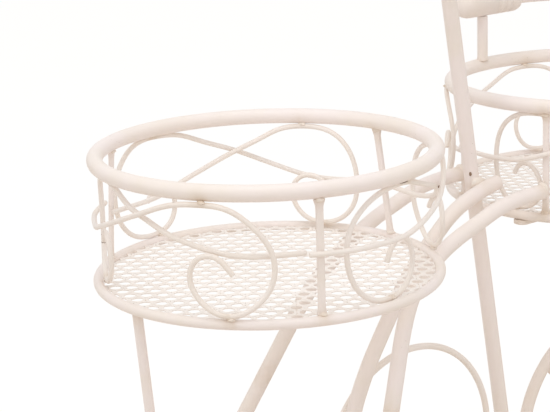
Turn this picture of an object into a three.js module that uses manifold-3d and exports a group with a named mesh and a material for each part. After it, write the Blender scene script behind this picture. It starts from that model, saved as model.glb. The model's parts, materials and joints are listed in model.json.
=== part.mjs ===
// A flower cart stand: a small painted iron tricycle that carries two round wire baskets for potted
// plants, one above the rear axle and one above the front wheel.
// Millimetres, +Z up. +X is the front of the cart, +Y its left side.
// The origin is on the ground, half way between the two baskets.
import * as THREE from 'three';
import { mergeVertices } from 'three/addons/utils/BufferGeometryUtils.js';
import Module from 'manifold-3d';

const wasm = await Module();
wasm.setup();

// ---- driving dimensions ----
const GAP = 0.3;                 // left between two pieces that are welded together

// baskets
const BASKET_R = 134;            // centre line of a basket's rim
const BASKET_DEPTH = 98;         // rim centre down to lower ring centre
const BASKET_X = 198;            // each basket's centre, either side of the origin
const RIM_Z = 436;               // height of the rims' centre lines above the ground
const RIM_TUBE_R = 6.4;          // rim tube, 12.7 mm across
const RING_FLARE = 2.3;          // the lower ring is this much wider than the rim
const LOWER_ROD_R = 4;           // rod of the lower ring, and of the tie and stays
const WIRE_R = 2.1;              // scroll wire
const WIRE_LAY = 0.5;            // between a scroll wire and the posts that it crosses
const POST_THICK = 3;            // flat post, across the wall
const POST_WIDE = 7;             // and along it
const FLOOR_THICK = 1.5;         // punched floor plate
const HOLE_PITCH = 30;           // spacing of the floor's petal openings
const POSTS = [122, 4, -113];    // angles of the rear basket's flat posts
const REAR_LEAN = [-5, 6, 0];    // some posts lean: their heads are this many degrees further round
const FRONT_LEAN = [0, 6, 0];
const WIRE_BOW = 3.4;            // an inside wire's sweep bows out by this between two posts
const WIRE_DIP = 2.4;            // an outside wire's tail runs in by this before it reaches its post
const WIRE_SEAT = 0.5;           // from the lowest wire down to the lower ring

// frame
const FRAME_TUBE_R = 6.6;        // rails and seat tube, 13.2 mm across
const RAIL_Y = 49.6;             // side rails, out from the middle
const SEAT_Y = 2.7;              // the seat tube stands this far to the left
const SEAT_X = 24.5;             // where its centre line passes the rims' height
const SEAT_LEAN = 0.1644;        // and how far it leans back for each millimetre up
const SEAT_TOP = 141;            // its top, above the rims' centre lines
const SEAT_FOOT = 368.5;         // its foot, below them
const FRAME_RING_R = 96.8;       // thin ring in the frame
const FRAME_RING_ROD = 2.9;
const FRAME_RING_X = -46.7;      // its centre along the cart
const FRAME_RING_DROP = 298.4;   // and how far that lies below the rims
const CENTRE_END_BELOW = 44.6;   // the centre rail comes back to the seat tube this far below that centre
const RAIL_HEAD = 23.8;          // the side rails' heads lie this far above the lower rings
const TIE_DROP = 316;            // the rear tie lies this far below the rims
const STAY_IN = 2;               // the stay's head, inside the rear basket's lower ring
const STAY_SPREAD = -18.146;      // and the back of the tie lies this far behind it

// wheels
const REAR_WHEEL_R = 83;
const REAR_AXLE_X = -209;
const REAR_LEG_Y = 113.2;        // where the legs meet the rear axle
const REAR_WHEEL_Y = 131;        // rear wheels' middle planes
const REAR_HUB_LONG = 16;
const FRONT_WHEEL_R = 104.5;
const FRONT_HUB_LONG = 34;
const TYRE_R = 5.5;              // tube that each wheel rim is bent from
const SPOKE_R = 2;
const HUB_WALL = 4;
const AXLE_R = 5;
const BORE_CLEAR = 0.5;          // between an axle and the hub that turns on it
const BLADE_R = 5.2;             // fork blades
const BLADE_Y = 26.8;
const STRAP_WIDE = 14;
const STRAP_THICK = 4;

// handlebar and saddle
const BAR_RISE = 61.6;           // handlebar above the front rim
const BAR_IN = 4;                // and inside the rim's centre line
const BAR_LEVEL = 15;            // its arms run level this far behind the basket's centre
const BAR_IN_GRIP = 19;          // and start this far inside the grips
const GRIP_R = 13.4;
const GRIP_LONG = 78;
const GRIP_X = 147.7;            // rear end of the grips
const RISER_X = 181.2;
const RISER_R = 5;
const PAN_LONG = 124;            // saddle
const PAN_WIDE = 78;
const PAN_THICK = 5;
const PAN_EDGE = 3;

// ---- what follows from them ----
const POST_AT = BASKET_R + 0.6;                                   // radius of a post's middle
const OUTER_WIRE_AT = POST_AT + POST_THICK / 2 + WIRE_R + WIRE_LAY;
const INNER_WIRE_AT = POST_AT - POST_THICK / 2 - WIRE_R - WIRE_LAY;
const LOWER_RING_R = BASKET_R + RING_FLARE;
const RING_SIDES = 40;
const SCROLL_STEPS = 40;
const FLOOR_R = (LOWER_RING_R - LOWER_ROD_R) * Math.cos(Math.PI / RING_SIDES) - GAP;
const RING_Z = RIM_Z - BASKET_DEPTH;
const BAR_OUT = BASKET_R - BAR_IN;
const CENTRE_END_DROP = FRAME_RING_DROP + CENTRE_END_BELOW;
const RAIL_ANGLE = Math.asin(RAIL_Y / POST_AT) * 180 / Math.PI;   // where the rails meet the front basket
const FRONT_TURN = 180 - RAIL_ANGLE - POSTS[0];                   // so a post stands at the left rail
const CENTRE_Y = SEAT_Y - 2 * FRAME_TUBE_R - 0.2;                 // the centre rail lies against the seat tube

// ---- finish ----
const cream = new THREE.MeshStandardMaterial({ color: 0xefe2d6, roughness: 0.45, metalness: 0.0 });
const creamShade = new THREE.MeshStandardMaterial({ color: 0xe6d8ca, roughness: 0.5, metalness: 0.0 });
const grip = new THREE.MeshStandardMaterial({ color: 0xe9ddd3, roughness: 0.6, metalness: 0.0 });

// ---- solids ----
const toSolid = (geometry) => {
  const bare = geometry.index ? geometry.toNonIndexed() : geometry.clone();
  bare.deleteAttribute('normal');
  bare.deleteAttribute('uv');
  const merged = mergeVertices(bare, 1e-3);
  return new wasm.Manifold(new wasm.Mesh({
    numProp: 3,
    vertProperties: new Float32Array(merged.attributes.position.array),
    triVerts: new Uint32Array(merged.index.array),
  }));
};

const toGeometry = (solid) => {
  const mesh = solid.getMesh();
  const geometry = new THREE.BufferGeometry();
  geometry.setAttribute('position', new THREE.BufferAttribute(new Float32Array(mesh.vertProperties), 3));
  geometry.setIndex(new THREE.BufferAttribute(new Uint32Array(mesh.triVerts), 1));
  return geometry;
};

const rad = (degrees) => degrees * Math.PI / 180;
const vec = (x, y, z) => new THREE.Vector3(x, y, z);

// a point given by how far it lies below the rims' centre lines
const under = (x, y, drop) => vec(x, y, RIM_Z - drop);

const disc = (radius, sides) => {
  const points = [];
  for (let i = 0; i < sides; i++) {
    const a = 2 * Math.PI * i / sides;
    points.push(new THREE.Vector2(radius * Math.cos(a), radius * Math.sin(a)));
  }
  return new THREE.Shape(points);
};

// a round bar bent along the points, with flat ends
const bent = (points, radius, sides, steps) => {
  const path = new THREE.CatmullRomCurve3(points, false, 'centripetal');
  return toSolid(new THREE.ExtrudeGeometry(disc(radius, sides), { steps, extrudePath: path }));
};

// a straight round bar
const bar = (from, to, radius, sides) => {
  const along = to.clone().sub(from);
  const geometry = new THREE.CylinderGeometry(radius, radius, along.length(), sides);
  const turn = new THREE.Quaternion().setFromUnitVectors(vec(0, 1, 0), along.clone().normalize());
  geometry.applyQuaternion(turn);
  const middle = from.clone().add(to).multiplyScalar(0.5);
  geometry.translate(middle.x, middle.y, middle.z);
  return toSolid(geometry);
};

// a hoop lying level (axis +Z) or standing along the cart (axis +Y)
const hoop = (centre, major, minor, sides, steps, upright) => {
  const geometry = new THREE.TorusGeometry(major, minor, sides, steps);
  if (upright) geometry.rotateX(Math.PI / 2);
  geometry.translate(centre.x, centre.y, centre.z);
  return toSolid(geometry);
};

const block = (length, width, height, centre, turn = 0) => {
  const geometry = new THREE.BoxGeometry(length, width, height);
  geometry.translate(centre.x, centre.y, centre.z);
  geometry.rotateZ(rad(turn));
  return toSolid(geometry);
};

const cutBy = (solid, others) => others.reduce((left, other) => left.subtract(other), solid);

// ---- assembly ----
const cart = new THREE.Group();
const add = (name, solid, material, parent = cart) => {
  const mesh = new THREE.Mesh(toGeometry(solid), material);
  mesh.name = name;
  parent.add(mesh);
  return mesh;
};

// ---- baskets ----
// Six scroll wires, two from each post, each as [degrees from its post, share of the way from rim to
// floor]. A wire starts at the eye of its curl, rounds the bottom, climbs beside its post, turns over
// under the rim and sweeps across to the next post. The first of a pair runs outside the posts and
// the second inside them, the other way round the basket.
const SCROLLS = [
  [[24, 0.66], [25.5, 0.58], [29, 0.52], [33, 0.54], [36, 0.65], [36.2, 0.74], [35.6, 0.835], [33.7, 0.94],
    [29.2, 1], [21, 1], [16, 0.95], [12, 0.86], [8.5, 0.74], [6.8, 0.62], [6.3, 0.48], [7, 0.34], [10.6, 0.2],
    [14.4, 0.1], [19, 0.03], [24, 0], [31, 0], [39.6, 0.027], [47.3, 0.12], [54.6, 0.196], [61.1, 0.266],
    [68.9, 0.365], [76, 0.446], [83.1, 0.521], [90.5, 0.556], [98, 0.56], [108, 0.54], [121, 0.5]],
  [[29, 0.66], [30, 0.58], [33, 0.52], [36.5, 0.55], [39.5, 0.66], [40.5, 0.8], [39, 0.92], [35.5, 0.995],
    [30.5, 1.01], [26, 0.95], [22.5, 0.84], [20.5, 0.7], [19.8, 0.55], [20.3, 0.38], [22.5, 0.2], [26.5, 0.08],
    [32, 0.005], [38, -0.012], [44, -0.005], [49, 0.025], [53.8, 0.084], [59.3, 0.148], [66.5, 0.206], [73.1, 0.28],
    [78.4, 0.334], [84.1, 0.373], [89.4, 0.416], [95.2, 0.45], [101.5, 0.472], [108.9, 0.475], [121, 0.465]],
  [[24.8, 0.634], [26, 0.575], [29.5, 0.51], [34.6, 0.475], [39.4, 0.51], [41.5, 0.6], [42, 0.67], [41, 0.75],
    [38.5, 0.83], [34, 0.93], [29, 0.995], [23.2, 0.985], [19.5, 0.89], [16.8, 0.795], [14.6, 0.68], [13.7, 0.56],
    [13.8, 0.46], [14.4, 0.3], [15.6, 0.18], [17.5, 0.11], [21, 0.035], [27, 0], [36, 0], [44, 0.025], [49, 0.12],
    [54, 0.19], [62.7, 0.286], [71, 0.35], [79, 0.412], [87, 0.46], [96, 0.473], [108, 0.468], [121, 0.46]],
  [[24, 0.62], [26, 0.54], [31, 0.512], [34.4, 0.536], [36.6, 0.6], [37.4, 0.7], [36.6, 0.8], [34.8, 0.892],
    [31.1, 0.985], [26, 1.01], [20, 0.98], [15, 0.88], [12, 0.75], [11, 0.57], [12, 0.36], [16, 0.16], [22, 0.04],
    [29, 0], [37, 0.005], [42, 0.03], [48.9, 0.126], [56.5, 0.22], [64.2, 0.318], [72.2, 0.419], [78.1, 0.485],
    [84, 0.55], [89.9, 0.6], [98, 0.615], [108.6, 0.598], [121, 0.56]],
  [[27, 0.624], [28.8, 0.561], [30.5, 0.491], [32.9, 0.449], [36.1, 0.454], [38.8, 0.506], [40.4, 0.58],
    [40.9, 0.69], [39.3, 0.8], [36.2, 0.91], [32.4, 0.977], [28.1, 1], [25, 0.978], [20.7, 0.905], [17, 0.797],
    [15.1, 0.69], [14.4, 0.564], [15, 0.436], [16, 0.36], [18.5, 0.256], [21.4, 0.165], [24.3, 0.094],
    [27.2, 0.041], [31, 0.005], [36.4, 0], [41, 0], [45.2, 0.015], [50.4, 0.055], [56, 0.119], [63.4, 0.199],
    [73.9, 0.314], [86, 0.43], [92, 0.48], [100, 0.5], [112, 0.495], [124, 0.48]],
  [[25.8, 0.69], [27.8, 0.57], [32, 0.48], [37.1, 0.55], [40, 0.74], [38.2, 0.88], [34.2, 0.985], [28, 1.03],
    [21, 1.015], [16, 0.95], [12.2, 0.82], [9.9, 0.63], [9.8, 0.47], [11.5, 0.29], [16.5, 0.13], [22.5, 0.04],
    [30, 0], [38, 0.01], [47, 0.085], [57, 0.165], [68, 0.27], [76, 0.38], [84, 0.46], [92, 0.515], [101, 0.54],
    [112, 0.52], [121, 0.49]],
];
const WIRE_TOP = -RIM_TUBE_R - WIRE_R;
const WIRE_BOTTOM = -BASKET_DEPTH + LOWER_ROD_R + WIRE_R + WIRE_SEAT;

// a rise and fall of height one between two places
const hump = (at, from, to) => Math.sin(Math.PI * Math.min(1, Math.max(0, (at - from) / (to - from))));

const wirePoints = (i) => SCROLLS[i].map(([away, share]) => {
  const inside = i % 2 === 1;
  const a = rad(POSTS[Math.floor(i / 2)] + (inside ? away : -away));
  const r = inside ? INNER_WIRE_AT + WIRE_BOW * hump(away, 48, 112) : OUTER_WIRE_AT - WIRE_DIP * hump(away, 86, 108);
  return vec(r * Math.cos(a), r * Math.sin(a), WIRE_TOP + share * (WIRE_BOTTOM - WIRE_TOP));
});

const petal = (x, y, turn) => {
  const outline = [[7.5, 0], [3, 3.6], [-3.5, 3.4], [-7, 0], [-3.5, -3.4], [3, -3.6]];
  const c = Math.cos(turn);
  const s = Math.sin(turn);
  return new THREE.Path(outline.map(([u, v]) => new THREE.Vector2(x + u * c - v * s, y + u * s + v * c)));
};

const floorPlate = () => {
  const plate = disc(FLOOR_R, 48);
  const rows = Math.ceil(FLOOR_R / (HOLE_PITCH * 0.866));
  for (let row = -rows; row <= rows; row++) {
    for (let column = -6; column <= 6; column++) {
      const x = (column + (row % 2 === 0 ? 0 : 0.5)) * HOLE_PITCH;
      const y = row * HOLE_PITCH * 0.866;
      if (Math.hypot(x, y) > FLOOR_R - 12) continue;
      plate.holes.push(petal(x, y, rad(60 * ((row + column + 30) % 3) + 15)));
    }
  }
  const geometry = new THREE.ExtrudeGeometry(plate, { depth: FLOOR_THICK, bevelEnabled: false });
  geometry.translate(0, 0, -BASKET_DEPTH - FLOOR_THICK / 2);
  return toSolid(geometry);
};

// a flat post between the lower ring and the rim; it may lean along the wall
const post = (angle, lean) => {
  const top = -RIM_TUBE_R - GAP;
  const bottom = -BASKET_DEPTH + LOWER_ROD_R + GAP;
  const strips = 4;
  const geometry = new THREE.BoxGeometry(POST_THICK, POST_WIDE, top - bottom, 1, 1, strips);
  const at = geometry.attributes.position;
  for (let i = 0; i < at.count; i++) {
    const up = at.getZ(i) / (top - bottom);
    const a = rad(angle + lean * up) + at.getY(i) / POST_AT;
    const r = POST_AT + at.getX(i);
    at.setXYZ(i, r * Math.cos(a), r * Math.sin(a), at.getZ(i) + (top + bottom) / 2);
  }
  return toSolid(geometry);
};

const basket = (prefix, x, turn, leans, extraPosts) => {
  const group = new THREE.Group();
  group.position.set(x, 0, RIM_Z);
  group.rotation.z = rad(turn);
  add(prefix + '_rim', hoop(vec(0, 0, 0), BASKET_R, RIM_TUBE_R, 8, RING_SIDES, false), cream, group);
  add(prefix + '_lower_ring', hoop(vec(0, 0, -BASKET_DEPTH), LOWER_RING_R, LOWER_ROD_R, 6, RING_SIDES, false),
    cream, group);
  add(prefix + '_floor', floorPlate(), creamShade, group);
  POSTS.concat(extraPosts).forEach((angle, i) => {
    add(prefix + '_post_' + (i + 1), post(angle, leans[i] || 0), cream, group);
  });
  SCROLLS.forEach((bends, i) => {
    add(prefix + '_scroll_' + (i + 1), bent(wirePoints(i), WIRE_R, 5, SCROLL_STEPS), cream, group);
  });
  cart.add(group);
  return group;
};

basket('rear_basket', -BASKET_X, 0, REAR_LEAN, []);
// the front basket is the same, turned, with one more post where the right rail meets it
basket('front_basket', BASKET_X, FRONT_TURN, FRONT_LEAN, [RAIL_ANGLE - 180 - FRONT_TURN]);

// ---- frame ----
const rearRingAt = vec(-BASKET_X, 0, RING_Z);
const rearRing = (grow) => hoop(rearRingAt, LOWER_RING_R, LOWER_ROD_R + grow, 6, RING_SIDES, false);
const frontRim = hoop(vec(0, 0, 0), BASKET_R, RIM_TUBE_R + GAP, 8, RING_SIDES, false)
  .rotate([0, 0, FRONT_TURN]).translate([BASKET_X, 0, RIM_Z]);

// the leaning seat tube, in the cart's middle
const seatPoint = (drop) => under(SEAT_X + drop * SEAT_LEAN, SEAT_Y, drop);
const seatTube = (grow) => bar(seatPoint(SEAT_FOOT + grow), seatPoint(-SEAT_TOP - grow),
  FRAME_TUBE_R + grow, 12);
add('seat_tube', seatTube(0), cream);

// rear axle, across the cart, from wheel to wheel
const AXLE_END = REAR_WHEEL_Y + REAR_HUB_LONG / 2 + 1;
const axlePoint = (y) => vec(REAR_AXLE_X, y, REAR_WHEEL_R);
const rearAxle = (grow) => bar(axlePoint(-AXLE_END), axlePoint(AXLE_END), AXLE_R + grow, 10);
add('rear_axle', rearAxle(0), cream);

// the pair of side rails: level beside the seat tube, bending down under the rear basket, then
// straight and splaying out to the rear axle; as [x, further out than RAIL_Y, below the lower ring]
const RAIL_BEND = [
  [48.6, 0, -23.4], [17.7, 0, -20.3], [-13.1, 0, -10.9], [-37.2, 0, -2.6], [-53.3, 0, 4.9], [-66.7, 0.7, 12.6],
  [-80.1, 2, 21.9], [-92.1, 4.7, 32.7], [-102.9, 8.7, 45.4], [-113.7, 13.6, 62.8],
];
const railEnd = BASKET_X - Math.sqrt((POST_AT + POST_THICK / 2 + GAP) ** 2 - RAIL_Y ** 2) - 0.4;
const legFoot = vec(REAR_AXLE_X, REAR_LEG_Y, REAR_WHEEL_R);
const railPoints = [vec(railEnd, RAIL_Y, RING_Z + RAIL_HEAD)];
RAIL_BEND.forEach(([x, out, drop]) => railPoints.push(vec(x, RAIL_Y + out, RING_Z - drop)));
const legTop = railPoints[railPoints.length - 1];
const legPoint = (share) => legTop.clone().lerp(legFoot, share);
railPoints.push(legPoint(0.12), legPoint(0.24), legPoint(0.6), legFoot);
const sideways = (point, side) => vec(point.x, side * point.y, point.z);
const rail = (side, grow) => bent(railPoints.map((point) => sideways(point, side)), FRAME_TUBE_R + grow, 8, 26);
const frontPost = (side) => block(POST_THICK + 2 * GAP, POST_WIDE + 2 * GAP, BASKET_DEPTH,
  vec(POST_AT, 0, RIM_Z - BASKET_DEPTH / 2), side * (180 - RAIL_ANGLE)).translate([BASKET_X, 0, 0]);
const railCuts = (side) => [rearRing(GAP), rearAxle(GAP), frontPost(side)];
add('left_rail', cutBy(rail(1, 0), railCuts(1)), cream);
add('right_rail', cutBy(rail(-1, 0), railCuts(-1)), cream);

// the centre rail crosses the seat tube's right side and drops under the rear basket, as [x, below
// the rims]; then it rounds the frame ring, as [ahead of the ring's centre, below it], and comes back
// to the foot of the seat tube
const CENTRE = [
  [53.9, 69], [32.1, 73.7], [8.4, 81.6], [-6.8, 89.8], [-20.7, 100.5], [-44, 119.9], [-62.7, 140.7], [-79.3, 164.2],
  [-90.3, 180.2], [-103.7, 201],
];
const ROUND_RING = [
  [-73, -63.9], [-80.7, -30.4], [-80.3, 3.1], [-68.2, 39.3], [-44.1, 67.6], [-10.6, 84.1], [25.6, 85.6],
];
const centrePoints = CENTRE.map(([x, drop]) => under(x, CENTRE_Y, drop));
ROUND_RING.forEach(([ahead, below]) => centrePoints.push(
  under(FRAME_RING_X + ahead, CENTRE_Y, FRAME_RING_DROP + below)));
const centreEnd = seatPoint(CENTRE_END_DROP);
const comeBack = [[61.8, -9, -30.5], [29.7, -3, -14.8], [3, 0, 0]];
comeBack.forEach(([back, out, rise]) => centrePoints.push(
  under(centreEnd.x - back, SEAT_Y + out, CENTRE_END_DROP - rise)));
const centreRail = (grow) => bent(centrePoints, FRAME_TUBE_R + grow, 8, 38);
add('centre_rail', cutBy(centreRail(0), [seatTube(GAP)]), cream);

// the thin ring held between the centre rail and the seat tube
const frameRing = hoop(under(FRAME_RING_X, CENTRE_Y + FRAME_TUBE_R + FRAME_RING_ROD + 0.5, FRAME_RING_DROP),
  FRAME_RING_R, FRAME_RING_ROD, 6, 38, true);
add('frame_ring', cutBy(frameRing, [seatTube(GAP), centreRail(GAP)]), cream);

// the hoop that ties the two legs together behind the axle, and the thin stay down to it
const tieEnd = legPoint((RIM_Z - TIE_DROP - legTop.z) / (legFoot.z - legTop.z));
const stayTop = vec(-BASKET_X - LOWER_RING_R + LOWER_ROD_R + STAY_IN, 0, RING_Z - FLOOR_THICK / 2 - 3 * GAP);
const tieBack = stayTop.x - STAY_SPREAD;
const tieLong = tieEnd.x - tieBack;
const tiePoints = [];
for (let i = 0; i <= 12; i++) {
  const a = rad(-90 + 15 * i);
  tiePoints.push(under(tieEnd.x - tieLong * Math.cos(a), tieEnd.y * Math.sin(a), TIE_DROP));
}
const tie = (grow) => bent(tiePoints, LOWER_ROD_R + grow, 6, 22);
add('rear_tie', cutBy(tie(0), [rail(1, GAP), rail(-1, GAP)]), cream);
const rearStay = bar(stayTop, under(tieBack, 0, TIE_DROP), LOWER_ROD_R, 8);
add('rear_stay', cutBy(rearStay, [rearRing(GAP), tie(GAP)]), cream);

// ---- wheels ----
const across = (centre, reach, radius, sides) => bar(vec(centre.x, centre.y - reach, centre.z),
  vec(centre.x, centre.y + reach, centre.z), radius, sides);

const wheel = (centre, radius, hubLong, spokes) => {
  const spokeEnd = radius - TYRE_R;
  let body = hoop(centre, spokeEnd, TYRE_R, 6, 36, true);
  body = body.add(across(centre, hubLong / 2, AXLE_R + BORE_CLEAR + HUB_WALL, 12));
  for (let i = 0; i < spokes; i++) {
    const a = rad(90 + 360 * i / spokes);
    const tip = vec(centre.x + spokeEnd * Math.cos(a), centre.y, centre.z + spokeEnd * Math.sin(a));
    body = body.add(bar(centre, tip, SPOKE_R, 6));
  }
  return body.subtract(across(centre, hubLong, AXLE_R + BORE_CLEAR, 12));
};

// a domed nut on the end of an axle
const dome = (centre, side, radius, length) => {
  const profile = [
    new THREE.Vector2(0, 0), new THREE.Vector2(radius, 0), new THREE.Vector2(radius * 0.94, length * 0.45),
    new THREE.Vector2(radius * 0.6, length * 0.85), new THREE.Vector2(0, length),
  ];
  const geometry = new THREE.LatheGeometry(profile, 12);
  if (side < 0) geometry.rotateX(Math.PI);
  geometry.translate(centre.x, centre.y, centre.z);
  return toSolid(geometry);
};
const NUT_R = AXLE_R + BORE_CLEAR + 2.5;
const NUT_LONG = 6;
const SIDES = [[1, 'left'], [-1, 'right']];

for (const [side, name] of SIDES) {
  const centre = vec(REAR_AXLE_X, side * REAR_WHEEL_Y, REAR_WHEEL_R);
  add('rear_wheel_' + name, wheel(centre, REAR_WHEEL_R, REAR_HUB_LONG, 6), cream);
  add('rear_hub_cap_' + name, dome(axlePoint(side * (AXLE_END + GAP)), side, NUT_R, NUT_LONG), cream);
}

const FRONT_AXLE_END = BLADE_Y + BLADE_R + 2;
const frontHub = vec(BASKET_X, 0, FRONT_WHEEL_R);
const frontAxle = (grow) => across(frontHub, FRONT_AXLE_END, AXLE_R + grow, 10);
add('front_axle', frontAxle(0), cream);
add('front_wheel', wheel(frontHub, FRONT_WHEEL_R, FRONT_HUB_LONG, 8), cream);
for (const [side, name] of SIDES) {
  add('front_axle_nut_' + name, dome(vec(BASKET_X, side * (FRONT_AXLE_END + GAP), FRONT_WHEEL_R), side, NUT_R,
    NUT_LONG), cream);
}

// ---- fork: two straps under the front basket, a blade from each to the axle, a stay to the seat tube ----
const strapTop = RING_Z - LOWER_ROD_R - GAP;
const strapLong = 2 * LOWER_RING_R + 2;
const stayFoot = seatPoint(SEAT_FOOT - 12);
for (const [side, name] of SIDES) {
  const strapAt = vec(BASKET_X, side * BLADE_Y, strapTop - STRAP_THICK / 2);
  const strap = block(strapLong, STRAP_WIDE, STRAP_THICK, strapAt);
  add('fork_strap_' + name, strap, cream);
  const blade = (grow) => bar(vec(BASKET_X, side * BLADE_Y, strapTop - STRAP_THICK - GAP),
    vec(BASKET_X, side * BLADE_Y, FRONT_WHEEL_R), BLADE_R + grow, 8);
  add('fork_blade_' + name, cutBy(blade(0), [frontAxle(GAP)]), cream);
  const stayOut = [[0, 0, 0], [4.7, 10, -0.6], [14, 18, -2.6], [35.5, 23.4, -7.3]];
  const stayPoints = stayOut.map(([on, out, drop]) => vec(
    stayFoot.x + on, (on === 0 ? SEAT_Y : 0) + side * out, stayFoot.z - drop));
  stayPoints.push(vec(BASKET_X, side * BLADE_Y, FRONT_WHEEL_R - 2));
  const stay = bent(stayPoints, LOWER_ROD_R, 6, 14);
  add('front_stay_' + name, cutBy(stay, [seatTube(GAP), blade(GAP), frontAxle(GAP), centreRail(GAP)]), cream);
}

// ---- handlebar over the front basket ----
const barPoints = [under(GRIP_X + BAR_IN_GRIP, BAR_OUT, -BAR_RISE), under(BASKET_X - BAR_LEVEL, BAR_OUT, -BAR_RISE)];
for (let i = 0; i <= 12; i++) {
  const a = rad(90 - 15 * i);
  barPoints.push(under(BASKET_X + BAR_OUT * Math.cos(a), BAR_OUT * Math.sin(a), -BAR_RISE));
}
barPoints.push(under(BASKET_X - BAR_LEVEL, -BAR_OUT, -BAR_RISE), under(GRIP_X + BAR_IN_GRIP, -BAR_OUT, -BAR_RISE));
const handlebar = (grow) => bent(barPoints, RIM_TUBE_R + grow, 8, 32);
add('handlebar', handlebar(0), cream);

for (const [side, name] of SIDES) {
  const profile = [
    new THREE.Vector2(0, 0), new THREE.Vector2(GRIP_R - 6.4, 1), new THREE.Vector2(GRIP_R - 1.8, 5),
    new THREE.Vector2(GRIP_R, 11), new THREE.Vector2(GRIP_R, GRIP_LONG - 6),
    new THREE.Vector2(GRIP_R - 2.4, GRIP_LONG), new THREE.Vector2(0, GRIP_LONG),
  ];
  const geometry = new THREE.LatheGeometry(profile, 14);
  geometry.rotateZ(-Math.PI / 2);
  geometry.translate(GRIP_X, side * BAR_OUT, RIM_Z + BAR_RISE);
  add('grip_' + name, toSolid(geometry).subtract(handlebar(GAP)), grip);
  const riserTop = RIM_Z + BAR_RISE - GRIP_R - GAP / 2;
  const riser = bar(vec(RISER_X, side * BAR_OUT, RIM_Z), vec(RISER_X, side * BAR_OUT, riserTop), RISER_R, 8);
  add('handlebar_riser_' + name, riser.subtract(frontRim), cream);
}
const frontFootX = BASKET_X + (BAR_OUT + BASKET_R) / 2;
const frontRiser = bar(vec(frontFootX, 0, RIM_Z), vec(frontFootX, 0, RIM_Z + BAR_RISE), RISER_R, 8);
add('handlebar_riser_front', cutBy(frontRiser, [frontRim, handlebar(GAP)]), cream);

// ---- saddle ----
const panLine = [
  [[0.5, 0.15], [0.24, 0.15], [0.04, 0.28]], [[-0.12, 0.41], [-0.31, 0.59], [-0.4, 0.44]],
  [[-0.49, 0.28], [-0.49, -0.28], [-0.4, -0.44]], [[-0.31, -0.59], [-0.12, -0.41], [0.04, -0.28]],
  [[0.24, -0.15], [0.5, -0.15], [0.5, 0]],
];
const pan = new THREE.Shape();
pan.moveTo(0.5 * PAN_LONG, 0);
for (const [first, second, end] of panLine) {
  pan.bezierCurveTo(first[0] * PAN_LONG, first[1] * PAN_WIDE, second[0] * PAN_LONG, second[1] * PAN_WIDE,
    end[0] * PAN_LONG, end[1] * PAN_WIDE);
}
const panGeometry = new THREE.ExtrudeGeometry(pan, {
  depth: PAN_THICK, curveSegments: 5, bevelEnabled: true, bevelSize: PAN_EDGE, bevelThickness: PAN_EDGE,
  bevelSegments: 1,
});
const seatTop = seatPoint(-SEAT_TOP);
panGeometry.translate(seatTop.x - 4, seatTop.y, seatTop.z + FRAME_TUBE_R * SEAT_LEAN + PAN_EDGE + GAP);
add('saddle', toSolid(panGeometry), cream);

export default cart;
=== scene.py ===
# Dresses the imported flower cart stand: a small painted iron tricycle with two round wire baskets.
# Lengths are written in millimetres and brought to metres when each piece is finished.
# +X is the front of the cart, +Y its left side, and the ground is at zero.
import json
import math

import bmesh
import bpy
from mathutils import Matrix, Vector, noise


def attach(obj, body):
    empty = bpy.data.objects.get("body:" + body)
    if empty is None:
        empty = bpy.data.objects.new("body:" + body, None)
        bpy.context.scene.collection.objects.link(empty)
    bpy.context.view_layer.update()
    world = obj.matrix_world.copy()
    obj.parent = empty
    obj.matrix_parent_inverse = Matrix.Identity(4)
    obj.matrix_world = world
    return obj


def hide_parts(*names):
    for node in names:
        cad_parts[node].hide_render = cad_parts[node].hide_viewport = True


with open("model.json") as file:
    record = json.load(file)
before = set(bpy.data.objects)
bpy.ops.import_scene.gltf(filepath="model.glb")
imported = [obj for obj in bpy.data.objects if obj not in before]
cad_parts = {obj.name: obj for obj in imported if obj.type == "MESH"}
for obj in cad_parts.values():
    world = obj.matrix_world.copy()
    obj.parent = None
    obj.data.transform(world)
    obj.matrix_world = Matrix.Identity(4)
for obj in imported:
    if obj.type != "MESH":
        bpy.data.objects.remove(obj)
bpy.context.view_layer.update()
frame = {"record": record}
BODY_OF = {node: body for body, nodes in frame["record"]["behaviour"]["bodies"].items() for node in nodes}

# ---- sizes ----
GAP = 0.3
BASKET_R = 134
BASKET_DEPTH = 98
BASKET_X = 198
RIM_Z = 436
RIM_TUBE_R = 6.4
LOWER_RING_R = BASKET_R + 2.3
LOWER_ROD_R = 4
WIRE_R = 2.1
POST_THICK = 3
POST_WIDE = 5.6
POST_FLARE_LONG = 9
HEAD_FLARE = 0.7
FOOT_FLARE = 0.45
POST_AT = BASKET_R + 0.6
OUTER_WIRE_AT = POST_AT + POST_THICK / 2 + WIRE_R + 0.5
INNER_WIRE_AT = POST_AT - POST_THICK / 2 - WIRE_R - 0.5
SHEET_THICK = 1.5
SHEET_THIN = 0.8
TILE_PITCH = 22
SHEET_TURN = -9
OPENING_EDGE = ((-60, 4.2), (-34, 4.6), (0, 5.0), (34, 4.6), (60, 4.2))
SLIT = ((5.4, 0.0), (6.2, -0.3), (9.0, -0.3), (9.8, 0.0), (9.0, 0.3), (6.2, 0.3))
POSTS = [122, 4, -113]
REAR_LEAN = [-5, 6, 0]
FRONT_LEAN = [0, 6, 0]
WIRE_BOW = 3.4
WIRE_DIP = 2.4
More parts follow.
